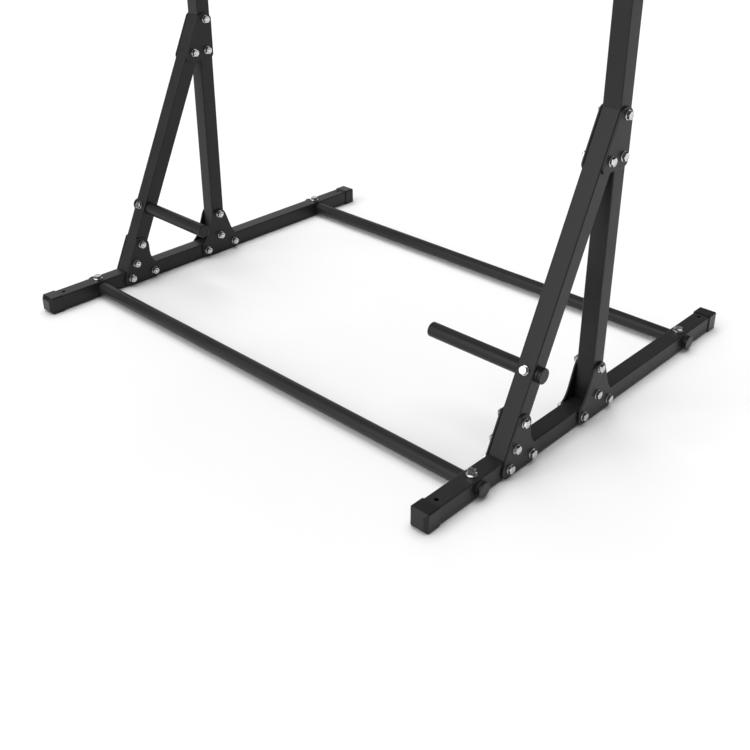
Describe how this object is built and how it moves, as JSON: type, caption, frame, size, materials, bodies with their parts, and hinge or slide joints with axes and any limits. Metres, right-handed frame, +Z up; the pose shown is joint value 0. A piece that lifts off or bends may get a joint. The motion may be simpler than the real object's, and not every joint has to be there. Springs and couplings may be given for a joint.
{
  "type": "power tower",
  "caption": "Free-standing power tower of bolted square steel tube with push-up handles, dip arms, arm and back pads, and a bent pull-up bar on posts that slide up to set its height.",
  "frame": {"origin": "on the floor, at the middle of the base's width and depth", "axes": "+Z up; -Y towards the dip arms' free ends and the foot of the front braces; +X from the left side frame to the right one"},
  "size_m": [1.3156, 1.092, 2.0963],
  "materials": {
    "frame_coat": "satin black powder coat with a fine even texture",
    "cap_plastic": "smooth black moulded plastic, slightly darker than the coat",
    "zinc_fastener": "bright zinc plate on hex bolts, nuts and washers",
    "grip_rubber": "matte black moulded rubber hand grip",
    "grip_foam": "matte black closed-cell foam sleeve",
    "pad_vinyl": "black grained upholstery vinyl over foam, with a soft sheen"
  },
  "bodies": {
    "frame": {"runner_left": "frame_coat", "post_left": "frame_coat", "brace_left": "frame_coat", "pushup_handle_left": "frame_coat", "dip_arm_left": "frame_coat", "gusset_front_left_inner": "frame_coat", "gusset_front_left_outer": "frame_coat", "gusset_rear_left_inner": "frame_coat", "gusset_rear_left_outer": "frame_coat", "gusset_upper_left_inner": "frame_coat", "gusset_upper_left_outer": "frame_coat", "runner_cap_left_front": "cap_plastic", "crossbar_cap_left_front": "cap_plastic", "crossbar_bolt_left_front": "zinc_fastener", "runner_cap_left_rear": "cap_plastic", "crossbar_cap_left_rear": "cap_plastic", "crossbar_bolt_left_rear": "zinc_fastener", "pushup_handle_cap_left": "cap_plastic", "pushup_handle_plug_left": "cap_plastic", "pushup_handle_bolt_left": "zinc_fastener", "height_stop_bolt_left": "zinc_fastener", "dip_grip_left": "grip_rubber", "arm_pad_left": "pad_vinyl", "runner_right": "frame_coat", "post_right": "frame_coat", "brace_right": "frame_coat", "pushup_handle_right": "frame_coat", "dip_arm_right": "frame_coat", "gusset_front_right_inner": "frame_coat", "gusset_front_right_outer": "frame_coat", "gusset_rear_right_inner": "frame_coat", "gusset_rear_right_outer": "frame_coat", "gusset_upper_right_inner": "frame_coat", "gusset_upper_right_outer": "frame_coat", "runner_cap_right_front": "cap_plastic", "crossbar_cap_right_front": "cap_plastic", "crossbar_bolt_right_front": "zinc_fastener", "runner_cap_right_rear": "cap_plastic", "crossbar_cap_right_rear": "cap_plastic", "crossbar_bolt_right_rear": "zinc_fastener", "pushup_handle_cap_right": "cap_plastic", "pushup_handle_plug_right": "cap_plastic", "pushup_handle_bolt_right": "zinc_fastener", "height_stop_bolt_right": "zinc_fastener", "dip_grip_right": "grip_rubber", "arm_pad_right": "pad_vinyl", "crossbar_front": "frame_coat", "crossbar_rear": "frame_coat", "dip_beam": "frame_coat", "back_pad_mast": "frame_coat", "back_pad": "pad_vinyl"},
    "pull_up_frame": {"upper_post_left": "frame_coat", "upper_post_cap_left": "cap_plastic", "pull_up_grip_left": "grip_foam", "upper_post_right": "frame_coat", "upper_post_cap_right": "cap_plastic", "pull_up_grip_right": "grip_foam", "pull_up_bar": "frame_coat"},
    "height_knob_left": {"height_knob_left": "cap_plastic"},
    "height_knob_right": {"height_knob_right": "cap_plastic"}
  },
  "joints": [
    {"name": "height_slide", "type": "slide", "parent": "frame", "child": "pull_up_frame", "axis": [0, 0, 1], "range_m": [0, 0.18]},
    {"name": "height_knob_left_turn", "type": "hinge", "parent": "frame", "child": "height_knob_left", "pos_m": [-0.6245, 0.0178, 1.44], "axis": [0, 1, 0], "range_deg": [0, 540]},
    {"name": "height_knob_right_turn", "type": "hinge", "parent": "frame", "child": "height_knob_right", "pos_m": [0.6245, 0.0178, 1.44], "axis": [0, 1, 0], "range_deg": [0, 540]}
  ]
}
